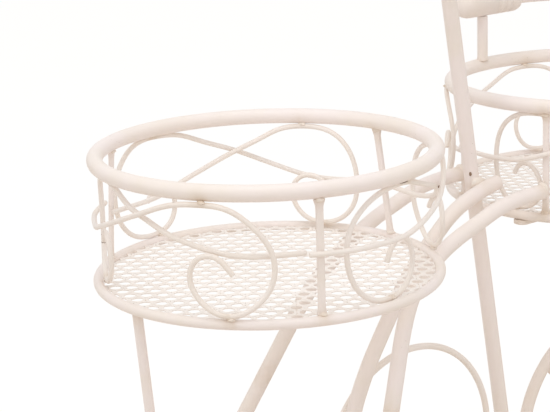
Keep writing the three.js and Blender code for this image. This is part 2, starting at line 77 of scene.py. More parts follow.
# each scroll wire's bends, as [degrees from its post, share of the way from the rim to the floor]
SCROLLS = [
    [(24, 0.66), (25.5, 0.58), (29, 0.52), (33, 0.54), (36, 0.65), (36.2, 0.74), (35.6, 0.835),
     (33.7, 0.94), (29.2, 1), (21, 1), (16, 0.95), (12, 0.86), (8.5, 0.74), (6.8, 0.62),
     (6.3, 0.48), (7, 0.34), (10.6, 0.2), (14.4, 0.1), (19, 0.03), (24, 0), (31, 0), (39.6, 0.027),
     (47.3, 0.12), (54.6, 0.196), (61.1, 0.266), (68.9, 0.365), (76, 0.446), (83.1, 0.521),
     (90.5, 0.556), (98, 0.56), (108, 0.54), (121, 0.5)],
    [(29, 0.66), (30, 0.58), (33, 0.52), (36.5, 0.55), (39.5, 0.66), (40.5, 0.8), (39, 0.92),
     (35.5, 0.995), (30.5, 1.01), (26, 0.95), (22.5, 0.84), (20.5, 0.7), (19.8, 0.55), (20.3, 0.38),
     (22.5, 0.2), (26.5, 0.08), (32, 0.005), (38, -0.012), (44, -0.005), (49, 0.025), (53.8, 0.084),
     (59.3, 0.148), (66.5, 0.206), (73.1, 0.28), (78.4, 0.334), (84.1, 0.373), (89.4, 0.416),
     (95.2, 0.45), (101.5, 0.472), (108.9, 0.475), (121, 0.465)],
    [(24.8, 0.634), (26, 0.575), (29.5, 0.51), (34.6, 0.475), (39.4, 0.51), (41.5, 0.6), (42, 0.67),
     (41, 0.75), (38.5, 0.83), (34, 0.93), (29, 0.995), (23.2, 0.985), (19.5, 0.89), (16.8, 0.795),
     (14.6, 0.68), (13.7, 0.56), (13.8, 0.46), (14.4, 0.3), (15.6, 0.18), (17.5, 0.11), (21, 0.035),
     (27, 0), (36, 0), (44, 0.025), (49, 0.12), (54, 0.19), (62.7, 0.286), (71, 0.35), (79, 0.412),
     (87, 0.46), (96, 0.473), (108, 0.468), (121, 0.46)],
    [(24, 0.62), (26, 0.54), (31, 0.512), (34.4, 0.536), (36.6, 0.6), (37.4, 0.7), (36.6, 0.8),
     (34.8, 0.892), (31.1, 0.985), (26, 1.01), (20, 0.98), (15, 0.88), (12, 0.75), (11, 0.57),
     (12, 0.36), (16, 0.16), (22, 0.04), (29, 0), (37, 0.005), (42, 0.03), (48.9, 0.126),
     (56.5, 0.22), (64.2, 0.318), (72.2, 0.419), (78.1, 0.485), (84, 0.55), (89.9, 0.6),
     (98, 0.615), (108.6, 0.598), (121, 0.56)],
    [(27, 0.624), (28.8, 0.561), (30.5, 0.491), (32.9, 0.449), (36.1, 0.454), (38.8, 0.506),
     (40.4, 0.58), (40.9, 0.69), (39.3, 0.8), (36.2, 0.91), (32.4, 0.977), (28.1, 1), (25, 0.978),
     (20.7, 0.905), (17, 0.797), (15.1, 0.69), (14.4, 0.564), (15, 0.436), (16, 0.36),
     (18.5, 0.256), (21.4, 0.165), (24.3, 0.094), (27.2, 0.041), (31, 0.005), (36.4, 0), (41, 0),
     (45.2, 0.015), (50.4, 0.055), (56, 0.119), (63.4, 0.199), (73.9, 0.314), (86, 0.43),
     (92, 0.48), (100, 0.5), (112, 0.495), (124, 0.48)],
    [(25.8, 0.69), (27.8, 0.57), (32, 0.48), (37.1, 0.55), (40, 0.74), (38.2, 0.88), (34.2, 0.985),
     (28, 1.03), (21, 1.015), (16, 0.95), (12.2, 0.82), (9.9, 0.63), (9.8, 0.47), (11.5, 0.29),
     (16.5, 0.13), (22.5, 0.04), (30, 0), (38, 0.01), (47, 0.085), (57, 0.165), (68, 0.27),
     (76, 0.38), (84, 0.46), (92, 0.515), (101, 0.54), (112, 0.52), (121, 0.49)],
]
WIRE_TOP = -RIM_TUBE_R - WIRE_R
WIRE_BOTTOM = -BASKET_DEPTH + LOWER_ROD_R + WIRE_R + 0.5
RING_Z = RIM_Z - BASKET_DEPTH

TUBE_R = 6.6
RAIL_Y = 49.6
SEAT_Y = 2.7
SEAT_X = 24.5
SEAT_LEAN = 0.1644
SEAT_TOP = 141
SEAT_FOOT = 368.5
RAIL_MEETS_SEAT = 70
CENTRE_MEETS_SEAT = 343
STAYS_MEET_SEAT = SEAT_FOOT - 12
RAIL_HEAD = 23.8
RING_ROD = 2.9
RING_X = -46.7
RING_DROP = 298.4
RING_R = 96.8
TIE_DROP = 316
STAY_IN = 2
TIE_AHEAD = 18.146
CENTRE_Y = SEAT_Y - 2 * TUBE_R - 0.2

AXLE_REACH = 140
REAR_WHEEL_R = 83
REAR_AXLE_X = -209
REAR_LEG_Y = 113.2
REAR_WHEEL_Y = 131
REAR_HUB_LONG = 16
FRONT_WHEEL_R = 104.5
FRONT_HUB_LONG = 34
TYRE_R = 5.5
AXLE_R = 5
BORE_R = 5.5
BLADE_R = 5.2
BLADE_Y = 26.8
BAR_RISE = 61.6
BAR_OUT = 130
GRIP_R = 13.4
GRIP_LONG = 78
GRIP_X = 147.7
RISER_X = 181.2
RISER_R = 5
BAR_IN_GRIP = 19
BAR_LEVEL = 15

RAIL_TURN = math.degrees(math.asin(RAIL_Y / POST_AT))
FRONT_TURN = 180 - RAIL_TURN - POSTS[0]


# ---- paint ----
def tone(code):
    """A colour written as six hex digits, in the linear values that the shader takes."""
    parts = [int(code[i:i + 2], 16) / 255 for i in (0, 2, 4)]
    return [p / 12.92 if p <= 0.04045 else ((p + 0.055) / 1.055) ** 2.4 for p in parts] + [1.0]


class Value:
    """One number that varies over the surface, with plain arithmetic."""

    def __init__(self, finish, socket):
        self.finish = finish
        self.socket = socket

    def _do(self, operation, first, second, clamp=False):
        settings = {"operation": operation, "use_clamp": clamp}
        return self.finish.node("ShaderNodeMath", settings, {0: first, 1: second}).out("Value")

    def __add__(self, other):
        return self._do("ADD", self, other)

    __radd__ = __add__

    def __sub__(self, other):
        return self._do("SUBTRACT", self, other)

    def __rsub__(self, other):
        return self._do("SUBTRACT", other, self)

    def __mul__(self, other):
        return self._do("MULTIPLY", self, other)

    __rmul__ = __mul__

    def above(self, edge, reach):
        """Nought below the edge, rising to one over the reach."""
        return self._do("MULTIPLY", self - edge, 1 / reach, True)


class Made:
    """A node that was just made, and the way to its outputs."""

    def __init__(self, finish, node):
        self.finish = finish
        self.node = node

    def out(self, name):
        return Value(self.finish, self.node.outputs[name])


class Finish:
    """A material, built up node by node."""

    def __init__(self, name):
        self.material = bpy.data.materials.new(name)
        self.material.use_nodes = True
        self.tree = self.material.node_tree
        self.tree.nodes.clear()

    def node(self, kind, settings=None, sockets=None):
        made = self.tree.nodes.new(kind)
        for key, value in (settings or {}).items():
            setattr(made, key, value)
        for key, value in (sockets or {}).items():
            if isinstance(value, Value):
                self.tree.links.new(value.socket, made.inputs[key])
            else:
                made.inputs[key].default_value = value
        return Made(self, made)

    def place(self, scale=(1, 1, 1)):
        here = self.node("ShaderNodeTexCoord").out("Object")
        return self.node("ShaderNodeMapping", None, {"Vector": here, "Scale": scale}).out("Vector")

    def noise(self, where, scale, detail=2.0, rough=0.5):
        sockets = {"Vector": where, "Scale": scale, "Detail": detail, "Roughness": rough}
        return self.node("ShaderNodeTexNoise", None, sockets).out("Fac")

    def cells(self, where, scale):
        settings = {"feature": "F1", "distance": "EUCLIDEAN"}
        sockets = {"Vector": where, "Scale": scale}
        return self.node("ShaderNodeTexVoronoi", settings, sockets).out("Distance")

    def marked(self, name):
        return self.node("ShaderNodeAttribute", {"attribute_name": name}).out("Fac")

    def mix(self, first, second, share):
        settings = {"data_type": "RGBA", "clamp_factor": True}
        mixed = self.node("ShaderNodeMix", settings, {0: share, 6: first, 7: second})
        return Value(self, mixed.node.outputs[2])

    def bump(self, height, strength, distance):
        sockets = {"Height": height, "Strength": strength, "Distance": distance}
        return self.node("ShaderNodeBump", None, sockets).out("Normal")

    def coat_of(self, colour, rough, normal, fixed):
        sockets = {"Base Color": colour, "Roughness": rough, "Normal": normal}
        sockets.update(fixed)
        shader = self.node("ShaderNodeBsdfPrincipled", None, sockets).out("BSDF")
        self.node("ShaderNodeOutputMaterial", None, {"Surface": shader})
        return self.material


def cream_paint(name, fresh, warm, shade, rough, grain_size, pitting=0.5):
    """Satin enamel over iron: the tone drifts at random, darkens to a painted shade in the crevices at the
    welds, and is lightly pitted.
    """
    coat = Finish(name)
    here = coat.place()
    drift = coat.noise(here, 17, 3)
    cloud = coat.noise(here, 55, 3, 0.6)
    grain = coat.noise(here, grain_size, 2)
    pits = coat.cells(here, 210)
    weld = coat.marked("weld")
    warmth = drift.above(0.40, 0.22) * 0.65 + cloud.above(0.5, 0.3) * 0.35
    colour = coat.mix(tone(fresh), tone(warm), warmth)
    # Near the welds the colour takes a painted shade, for the crevices where parts meet; the weld's roughness
    # and bumps below are real.
    colour = coat.mix(colour, tone(shade), weld * cloud.above(0.34, 0.3) * 0.6)
    fleck = (1 - pits.above(0.05, 0.05)) * coat.noise(here, 31, 1).above(0.62, 0.04) * pitting
    colour = coat.mix(colour, tone("a08a6f"), fleck)
    roughness = rough + 0.16 * (cloud - 0.5) + 0.12 * weld
    height = grain * 0.5 + cloud * 0.8 + weld * grain * 1.6 - fleck
    normal = coat.bump(height, 0.22, 0.0006)
    return coat.coat_of(colour, roughness, normal, {"Specular IOR Level": 0.42})


# Each paint's colours: its fresh tone, a warmer tone it drifts to at random, and the painted shade it takes
# near the welds.
TUBE_PAINT = cream_paint("cream_tube_paint", "f8eeea", "f5ebe1", "d9c3aa", 0.42, 240)
WIRE_PAINT = cream_paint("cream_wire_paint", "f8f0ea", "f5ebe1", "d8c3aa", 0.44, 330)
SHEET_PAINT = cream_paint("cream_sheet_paint", "fbf5f0", "f8f0e9", "e0d0bc", 0.52, 420, 0)
WELD_PAINT = cream_paint("cream_weld_paint", "f6ede4", "efe3d6", "d2b797", 0.52, 520)
# Dark brown for the small spots of painted shade in the gaps and joints.
SHADE_SPOT_PAINT = cream_paint("shade_spot_paint", "8f7660", "6b5444", "4a3a2e", 0.65, 520)
GRIP_PAINT = cream_paint("cream_grip_paint", "f4eae3", "eee2d7", "d3bfa6", 0.50, 300, 0)
WHEEL_PAINT = cream_paint("cream_wheel_paint", "f7ece5", "f1e5d9", "d3bda2", 0.45, 260)


# ---- shaping ----
def under(x, y, drop):
    return Vector((x, y, RIM_Z - drop))


def smooth_path(points, count):
    """A curve through the points, like a rod bent by hand, cut into even steps."""
    ends = [points[0] * 2 - points[1]] + list(points) + [points[-1] * 2 - points[-2]]
    fine = []
    for i in range(1, len(ends) - 2):
        p0, p1, p2, p3 = ends[i - 1:i + 3]
        t1 = (p1 - p0).length ** 0.5
        t2 = t1 + (p2 - p1).length ** 0.5
        t3 = t2 + (p3 - p2).length ** 0.5
        for k in range(12):
            t = t1 + (t2 - t1) * k / 12
            a1 = p0 * ((t1 - t) / t1) + p1 * (t / t1)
            a2 = p1 * ((t2 - t) / (t2 - t1)) + p2 * ((t - t1) / (t2 - t1))
            a3 = p2 * ((t3 - t) / (t3 - t2)) + p3 * ((t - t2) / (t3 - t2))
            b1 = a1 * ((t2 - t) / t2) + a2 * (t / t2)
            b2 = a2 * ((t3 - t) / (t3 - t1)) + a3 * ((t - t1) / (t3 - t1))
            fine.append(b1 * ((t2 - t) / (t2 - t1)) + b2 * ((t - t1) / (t2 - t1)))
    fine.append(points[-1].copy())
    lengths = [0.0]
    for a, b in zip(fine, fine[1:]):
        lengths.append(lengths[-1] + (b - a).length)
    even = []
    k = 0
    for i in range(count + 1):
        want = lengths[-1] * i / count
        while k < len(fine) - 2 and lengths[k + 1] < want:
            k += 1
        span = lengths[k + 1] - lengths[k]
        even.append(fine[k].lerp(fine[k + 1], 0 if span == 0 else (want - lengths[k]) / span))
    return even


def relaxed(path, passes):
    """Each point drawn towards the middle of its neighbours, again and again."""
    for _ in range(passes):
        inner = [b * 0.5 + (a + c) * 0.25 for a, b, c in zip(path, path[1:], path[2:])]
        path = [path[0]] + inner + [path[-1]]
    return path


def eased(path, passes):
    """The same bend with its small waves drawn out and its ends kept."""
    calm = relaxed(path, passes)
    left = relaxed([p - c for p, c in zip(path, calm)], passes)
    return [c + d for c, d in zip(calm, left)]


def stations(path):
    """At each point of a path, a frame whose Z runs along it, carried on without a twist."""
    along = []
    for i in range(len(path)):
        a = path[max(i - 1, 0)]
        b = path[min(i + 1, len(path) - 1)]
        along.append((b - a).normalized())
    side = along[0].orthogonal().normalized()
    frames = []
    for i, point in enumerate(path):
        if i:
            side = along[i - 1].rotation_difference(along[i]) @ side
        side = (side - along[i] * side.dot(along[i])).normalized()
        other = along[i].cross(side)
        turned = Matrix((side, other, along[i])).transposed().to_4x4()
        frames.append(Matrix.Translation(point) @ turned)
    return frames


def sweep(bm, path, radius, sides, nose=0.25, flare=None):
    """Carries a round section along a path, extruding it from station to station. The ends are rounded
    over a length of nose times the radius, and flare gives a width for each share of the way."""
    frames = stations(path)
    steps = [(frames[0], 0.0, 1 - nose)]
    for turn in (30, 60, 90):
        a = math.radians(turn)
        steps.append((frames[0], nose * radius * (1 - math.cos(a)), 1 - nose + nose * math.sin(a)))
    steps += [(f, 0.0, 1.0) for f in frames[1:-1]]
    for turn in (90, 60, 30):
        a = math.radians(turn)
        steps.append((frames[-1], -nose * radius * (1 - math.cos(a)), 1 - nose + nose * math.sin(a)))
    steps.append((frames[-1], 0.0, 1 - nose))
    last = len(steps) - 1
    places = []
    for i, (where, shift, width) in enumerate(steps):
        share = min(1.0, max(0.0, (i - 3) / max(1, last - 6)))
        width *= radius * (flare(share) if flare else 1.0)
        places.append(where @ Matrix.Translation((0, 0, shift)) @ Matrix.Diagonal((width, width, 1, 1)))
    made = bmesh.ops.create_circle(bm, segments=sides, radius=1.0, matrix=places[0])
    loop = list({e for v in made["verts"] for e in v.link_edges})
    first = list(loop)
    for before, after in zip(places, places[1:]):
        grown = bmesh.ops.extrude_edge_only(bm, edges=loop)["geom"]
        verts = [g for g in grown if isinstance(g, bmesh.types.BMVert)]
        fresh = set(verts)
        edges = [g for g in grown if isinstance(g, bmesh.types.BMEdge)]
        loop = [e for e in edges if e.verts[0] in fresh and e.verts[1] in fresh]
        bmesh.ops.transform(bm, matrix=after @ before.inverted(), verts=verts)
    bmesh.ops.holes_fill(bm, edges=first + loop, sides=0)
    return bm


def straight(bm, a, b, radius, sides, nose=0.25, cuts=6, flare=None):
    path = [a.lerp(b, i / cuts) for i in range(cuts + 1)]
    return sweep(bm, path, radius, sides, nose, flare)


def spun(bm, profile, axis, centre, steps, start):
    """Turns a profile a full turn round an axis. The profile is laid out as [distance, along the axis]."""
    out = start.normalized()
    verts = [bm.verts.new(centre + out * r + axis * h) for r, h in profile]
    edges = [bm.edges.new((a, b)) for a, b in zip(verts, verts[1:])]
    bmesh.ops.spin(bm, geom=verts + edges, cent=centre, axis=axis, dvec=(0, 0, 0), angle=math.tau,
                   steps=steps, use_merge=True, use_normal_flip=False, use_duplicate=False)
    bmesh.ops.remove_doubles(bm, verts=bm.verts, dist=0.001)
    return bm


def torus(bm, centre, major, minor, steps, sides, axis):
    """A rod bent into a full ring."""
    out = axis.orthogonal().normalized()
    turn = Matrix((out, axis, out.cross(axis))).transposed().to_4x4()
    place = Matrix.Translation(centre + out * major) @ turn
    made = bmesh.ops.create_circle(bm, segments=sides, radius=minor, matrix=place)
    edges = list({e for v in made["verts"] for e in v.link_edges})
    bmesh.ops.spin(bm, geom=made["verts"] + edges, cent=centre, axis=axis, dvec=(0, 0, 0), angle=math.tau,
                   steps=steps, use_merge=True, use_normal_flip=False, use_duplicate=False)
    return bm


def bead(bm, at, size, seed):
    """A small lump, for the weld beads and for the dark spots of painted shade: a small ball pushed out of
    true.
    """
    made = bmesh.ops.create_icosphere(bm, subdivisions=2, radius=1.0)
    for v in made["verts"]:
        lump = noise.noise(v.co * 1.3 + Vector((seed * 3.1, seed * 1.7, seed)))
        v.co = at + Vector((v.co.x * size[0], v.co.y * size[1], v.co.z * size[2])) * (1 + 0.35 * lump)
    return bm


def finished(name, bm, node, paint, place=None, welds=(), reach=9.0, body=None, smooth=True):
    """Closes a piece: to metres, into its place, normals out, painted, and riding on its body."""
    bmesh.ops.remove_doubles(bm, verts=bm.verts, dist=0.0005)
    bmesh.ops.recalc_face_normals(bm, faces=bm.faces)
    if place is not None:
        bmesh.ops.transform(bm, matrix=place, verts=bm.verts)
        welds = [place @ w for w in welds]
    bmesh.ops.scale(bm, vec=(0.001, 0.001, 0.001), verts=bm.verts)
    mesh = bpy.data.meshes.new(name)
    bm.to_mesh(mesh)
    bm.free()
    if smooth:
        for polygon in mesh.polygons:
            polygon.use_smooth = True
        mesh.set_sharp_from_angle(angle=math.radians(48))
    # The weld mark is one at each joint and falls away over the reach; the paint uses it for a painted shade
    # in the crevices where parts meet, and for the welds' roughness and bumps.
    mark = mesh.attributes.new("weld", "FLOAT", "POINT")
    for i, vertex in enumerate(mesh.vertices):
        near = min(((vertex.co * 1000 - w).length for w in welds), default=1e6)
        mark.data[i].value = math.exp(-(near / reach) ** 2)
    mesh.materials.append(paint)
    piece = bpy.data.objects.new(name, mesh)
    bpy.context.scene.collection.objects.link(piece)
    nodes = [node] if isinstance(node, str) else list(node)
    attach(piece, body or BODY_OF[nodes[0]])
    if nodes:
        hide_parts(*nodes)
    return piece


# ---- baskets ----
def hump(at, start, end):
    """A rise and fall of height one between two places."""
    return math.sin(math.pi * min(1, max(0, (at - start) / (end - start))))


def wire_radius(i, away):
    if i % 2:
        return INNER_WIRE_AT + WIRE_BOW * hump(away, 48, 112)
    return OUTER_WIRE_AT - WIRE_DIP * hump(away, 86, 108)


def wire_angle(i, away):
    return POSTS[i // 2] + (away if i % 2 else -away)


def wire_points(i):
    return [on_wall(wire_angle(i, away), WIRE_TOP + share * (WIRE_BOTTOM - WIRE_TOP), wire_radius(i, away))
            for away, share in SCROLLS[i]]


def on_wall(angle, height, radius=POST_AT):
    a = math.radians(angle)
    return Vector((radius * math.cos(a), radius * math.sin(a), height))


def post(angle, lean):
    """A flat bar, sheared off at both ends, wider where it was hammered at its head and foot."""
    top = -RIM_TUBE_R - GAP
    bottom = -BASKET_DEPTH + LOWER_ROD_R + GAP
    bm = bmesh.new()
    bmesh.ops.create_cube(bm, size=1.0)
    bmesh.ops.scale(bm, vec=(POST_THICK, POST_WIDE, top - bottom), verts=bm.verts)
    bmesh.ops.bevel(bm, geom=bm.edges[:], offset=0.7, offset_type="OFFSET", segments=2, profile=0.5,
                    affect="EDGES", material=-1)
    long_edges = [e for e in bm.edges if abs(e.verts[0].co.z - e.verts[1].co.z) > 20]
    bmesh.ops.subdivide_edges(bm, edges=long_edges, cuts=19, use_grid_fill=True)
    half = (top - bottom) / 2
    for v in bm.verts:
        end = max(0.0, 1 - (half - abs(v.co.z)) / POST_FLARE_LONG)
        wide = 1 + (HEAD_FLARE if v.co.z > 0 else FOOT_FLARE) * end ** 3
        a = math.radians(angle + lean * v.co.z / (2 * half)) + v.co.y * wide / POST_AT
        r = POST_AT + v.co.x
        v.co = Vector((r * math.cos(a), r * math.sin(a), v.co.z + (top + bottom) / 2))
    return bm


def closed_line(bm, points):
    """The edges of one closed outline."""
    ring = [bm.verts.new(point) for point in points]
    return [bm.edges.new((ring[k], ring[(k + 1) % len(ring)])) for k in range(len(ring))]


def punched_sheet():
    """Rows of rounded openings, each ringed by six others, with fine slits between them. It is laid out
    in six-sided tiles: an opening in the middle, and a third of one bitten out of each corner."""
    bm = bmesh.new()
    corner = TILE_PITCH / math.sqrt(3)
    edge = []
    for i in range(6):
        a = math.radians(60 * i + 30)
        at = Vector((corner * math.cos(a), corner * math.sin(a), 0))
        for off, reach in OPENING_EDGE:
            b = a + math.pi - math.radians(off)
            edge.append(at + Vector((reach * math.cos(b), reach * math.sin(b), 0)))
    lines = closed_line(bm, edge)
    for i in range(6):
        turn = Matrix.Rotation(math.radians(60 * i), 3, "Z")
        lines += closed_line(bm, [turn @ Vector((x, y, 0)) for x, y in SLIT])
    middle = [Vector((4.6 if k % 4 else 5.0, 0, 0)) for k in range(12)]
    lines += closed_line(bm, [Matrix.Rotation(math.radians(30 * k), 3, "Z") @ point
                              for k, point in enumerate(middle)])
    bmesh.ops.triangle_fill(bm, use_beauty=True, use_dissolve=False, edges=lines, normal=(0, 0, 1))
    tile = bm.verts[:] + bm.edges[:] + bm.faces[:]
    flat_r = LOWER_RING_R - LOWER_ROD_R - GAP
    rows = math.ceil(flat_r / (TILE_PITCH * 0.866)) + 1
    for row in range(-rows, rows + 1):
        for column in range(-8, 9):
            x = (column + (0.5 if row % 2 else 0)) * TILE_PITCH
            y = row * TILE_PITCH * math.sqrt(3) / 2
            if (x, y) == (0, 0) or math.hypot(x, y) > flat_r + TILE_PITCH * 0.62:
                continue
            copy = bmesh.ops.duplicate(bm, geom=tile)["geom"]
            moved = [g for g in copy if isinstance(g, bmesh.types.BMVert)]
            bmesh.ops.translate(bm, vec=(x, y, 0), verts=moved)
    bmesh.ops.remove_doubles(bm, verts=bm.verts, dist=0.01)
    for i in range(64):
        a = math.tau * i / 64
        out = Vector((math.cos(a), math.sin(a), 0))
        bmesh.ops.bisect_plane(bm, geom=bm.verts[:] + bm.edges[:] + bm.faces[:], dist=0.0001,
                               plane_co=out * flat_r, plane_no=out, clear_outer=True)
    level = Matrix.Rotation(math.radians(SHEET_TURN), 3, "Z")
    bmesh.ops.rotate(bm, cent=(0, 0, 0), matrix=level, verts=bm.verts)
    for v in bm.verts:
        v.co.z = -BASKET_DEPTH + SHEET_THIN / 2
    grown = bmesh.ops.extrude_face_region(bm, geom=bm.faces[:], use_keep_orig=True)["geom"]
    lower = [g for g in grown if isinstance(g, bmesh.types.BMVert)]
    bmesh.ops.translate(bm, vec=(0, 0, -SHEET_THIN), verts=lower)
    return bm


def shade_marks(name, place, foot, tail):
    """Dark spots of painted shade: in the gap under the rim, where two wires cross, at a curl's foot and along
    its tail.
    """
    crossing = WIRE_TOP + 0.225 * (WIRE_BOTTOM - WIRE_TOP)
    spots = (
        (on_wall(-79.5, -7.2, 133), (5.0, 1.2, 0.6)),
        (on_wall(-50, crossing, 136.6), (1.5, 1.5, 1.3)),
        (foot + Vector((0, 0, 0.6)), (2.4, 2.4, 1.7)),
        (tail[0], (2.2, 2.2, 0.9)),
        (tail[1], (2.2, 2.2, 0.7)),
    )
    shade_spot_mesh = bmesh.new()
    for k, (at, size) in enumerate(spots):
        bead(shade_spot_mesh, at, size, 20 + k)
    finished(name + "_shade_spots", shade_spot_mesh, (), SHADE_SPOT_PAINT, place, (), 5, "frame")


def basket(name, x, turn, leans, extra_posts, shade_marked):
    place = Matrix.Translation((x, 0, RIM_Z)) @ Matrix.Rotation(math.radians(turn), 4, "Z")
    up = Vector((0, 0, 1))
    posts = POSTS + extra_posts
    leans = leans + [0] * len(extra_posts)
    heads = [on_wall(a + lean / 2, -RIM_TUBE_R) for a, lean in zip(posts, leans)]
    feet = [on_wall(a - lean / 2, -BASKET_DEPTH + LOWER_ROD_R) for a, lean in zip(posts, leans)]
    wires = [wire_points(i) for i in range(6)]
    tops = []
    bottoms = []
    for i, bends in enumerate(SCROLLS):
        curl = bends[:len(bends) // 2]
        low = max(curl, key=lambda bend: bend[1])[0]
        level = [away for away, share in bends if share < 0.012]
        high = sum(level) / len(level)
        tops.append(on_wall(wire_angle(i, high), WIRE_TOP + WIRE_R, wire_radius(i, high)))
        bottoms.append(on_wall(wire_angle(i, low), WIRE_BOTTOM - WIRE_R, wire_radius(i, low)))
    joints = heads + feet + tops + bottoms

    rim = torus(bmesh.new(), Vector((0, 0, 0)), BASKET_R, RIM_TUBE_R, 192, 20, up)
    finished(name + "_rim_tube", rim, name + "_rim", TUBE_PAINT, place, heads + tops, 7)
    ring = torus(bmesh.new(), Vector((0, 0, -BASKET_DEPTH)), LOWER_RING_R, LOWER_ROD_R, 192, 14, up)
    finished(name + "_foot_ring", ring, name + "_lower_ring", TUBE_PAINT, place,
             feet + bottoms, 7)
    finished(name + "_daisy_sheet", punched_sheet(), name + "_floor", SHEET_PAINT, place,
             smooth=False)
    for i, (angle, lean) in enumerate(zip(posts, leans)):
        finished(f"{name}_upright_{i + 1}", post(angle, lean), f"{name}_post_{i + 1}", TUBE_PAINT,
                 place, [heads[i], feet[i]], 8)
    for i, points in enumerate(wires):
        path = eased(smooth_path(points, 150), 18)
        wire = sweep(bmesh.new(), path, WIRE_R, 12, 0.3)
        finished(f"{name}_curl_{i + 1}", wire, f"{name}_scroll_{i + 1}", WIRE_PAINT, place,
                 [tops[i], bottoms[i]] + heads, 7)

    beads = bmesh.new()
    seed = 1
    for spots, lift, size in ((heads, -0.6, (3.6, 4.6, 2.0)), (feet, 0.4, (3.2, 4.4, 1.9)),
                              (tops, 0, (2.6, 3.6, 1.7)), (bottoms, 0, (2.6, 3.4, 1.7))):
        for at in spots:
            bead(beads, at + up * lift, size, seed)
            seed += 1
    finished(name + "_weld_beads", beads, (), WELD_PAINT, place, joints, 5, "frame")
    # Only the rear basket gets the dark spots of painted shade.
    if shade_marked:
        shade_marks(name, place, bottoms[1], wires[1][:2])


basket("rear_basket", -BASKET_X, 0, REAR_LEAN, [], True)
basket("front_basket", BASKET_X, FRONT_TURN, FRONT_LEAN, [RAIL_TURN - 180 - FRONT_TURN], False)


# ---- frame tubes ----
def seat_point(drop):
    return under(SEAT_X + drop * SEAT_LEAN, SEAT_Y, drop)


seat = straight(bmesh.new(), seat_point(SEAT_FOOT), seat_point(-SEAT_TOP), TUBE_R, 24, 0.15, 60)
finished("seat_post_tube", seat, "seat_tube", TUBE_PAINT, None,
         [seat_point(CENTRE_MEETS_SEAT), seat_point(STAYS_MEET_SEAT), seat_point(75)], 12)

# a side rail's bends, as (ahead of the middle, further out, below the lower rings)
RAIL_BEND = [
    (48.6, 0, -23.4), (17.7, 0, -20.3), (-13.1, 0, -10.9), (-37.2, 0, -2.6), (-53.3, 0, 4.9),
    (-66.7, 0.7, 12.6), (-80.1, 2, 21.9), (-92.1, 4.7, 32.7), (-102.9, 8.7, 45.4), (-113.7, 13.6, 62.8),
]
rail_end = BASKET_X - math.sqrt((POST_AT + POST_THICK / 2 + GAP) ** 2 - RAIL_Y ** 2) - 0.4
leg_foot = Vector((REAR_AXLE_X, REAR_LEG_Y, REAR_WHEEL_R))
leg_top = Vector((RAIL_BEND[-1][0], RAIL_Y + RAIL_BEND[-1][1], RING_Z - RAIL_BEND[-1][2]))


def leg_point(share):
    return leg_top.lerp(leg_foot, share)


def mirrored(point, side):
    return Vector((point.x, side * point.y, point.z))


rail_points = [Vector((rail_end, RAIL_Y, RING_Z + RAIL_HEAD))]
rail_points += [Vector((x, RAIL_Y + out, RING_Z - drop)) for x, out, drop in RAIL_BEND]
rail_points += [leg_point(0.12), leg_point(0.24), leg_point(0.6), leg_foot]
for side, name in ((1, "left"), (-1, "right")):
    path = smooth_path([mirrored(p, side) for p in rail_points], 120)
    rail = sweep(bmesh.new(), path, TUBE_R, 22, 0.2)
    finished(name + "_side_tube", rail, name + "_rail", TUBE_PAINT, None,
             [mirrored(rail_points[0], side), mirrored(leg_foot, side), mirrored(leg_point(0.3), side)], 11)

# the centre rail's bends, as (ahead of the middle, below the rims)
CENTRE = [
    (53.9, 69), (32.1, 73.7), (8.4, 81.6), (-6.8, 89.8), (-20.7, 100.5), (-44, 119.9), (-62.7, 140.7),
    (-79.3, 164.2), (-90.3, 180.2), (-103.7, 201), (-119.7, 234.5), (-127.4, 268), (-127, 301.5),
    (-114.9, 337.7), (-90.8, 366), (-57.3, 382.5), (-21.1, 384),
]
centre_end = seat_point(CENTRE_MEETS_SEAT)
centre_points = [under(x, CENTRE_Y, drop) for x, drop in CENTRE]
centre_points += [under(centre_end.x - back, SEAT_Y + out, CENTRE_MEETS_SEAT - rise)
                  for back, out, rise in ((61.8, -9, -30.5), (29.7, -3, -14.8), (3, 0, 0))]
centre = sweep(bmesh.new(), smooth_path(centre_points, 170), TUBE_R, 22, 0.2)
finished("middle_tube", centre, "centre_rail", TUBE_PAINT, None,
         [centre_end, seat_point(RAIL_MEETS_SEAT)], 14)

ring_at = under(RING_X, CENTRE_Y + TUBE_R + RING_ROD + 0.5, RING_DROP)
hoop = torus(bmesh.new(), ring_at, RING_R, RING_ROD, 160, 12, Vector((0, 1, 0)))
finished("thin_ring", hoop, "frame_ring", WIRE_PAINT, None,
         [centre_points[7], centre_points[15]], 8)

axle = straight(bmesh.new(), Vector((REAR_AXLE_X, -AXLE_REACH, REAR_WHEEL_R)),
                Vector((REAR_AXLE_X, AXLE_REACH, REAR_WHEEL_R)), AXLE_R, 20, 0.3, 40)
finished("rear_axle_rod", axle, "rear_axle", TUBE_PAINT, None,
         [leg_foot, mirrored(leg_foot, -1)], 12)

tie_end = leg_point((RIM_Z - TIE_DROP - leg_top.z) / (leg_foot.z - leg_top.z))
stay_top = Vector((-BASKET_X - LOWER_RING_R + LOWER_ROD_R + STAY_IN, 0, RING_Z - SHEET_THICK / 2 - 3 * GAP))
tie_back = stay_top.x + TIE_AHEAD
tie_points = []
for i in range(13):
    a = math.radians(-90 + 15 * i)
    tie_x = tie_end.x - (tie_end.x - tie_back) * math.cos(a)
    tie_points.append(under(tie_x, tie_end.y * math.sin(a), TIE_DROP))
tie = sweep(bmesh.new(), smooth_path(tie_points, 90), LOWER_ROD_R, 14, 0.2)
tie_middle = under(tie_back, 0, TIE_DROP)
finished("rear_hoop_rod", tie, "rear_tie", TUBE_PAINT, None,
         [tie_points[0], tie_points[-1], tie_middle], 10)
stay_foot = tie_middle + Vector((0, 0, LOWER_ROD_R * 0.6))
stay = straight(bmesh.new(), stay_top, stay_foot, LOWER_ROD_R, 16, 0.2, 30)
finished("rear_stay_rod", stay, "rear_stay", TUBE_PAINT, None, [stay_top, tie_middle], 10)

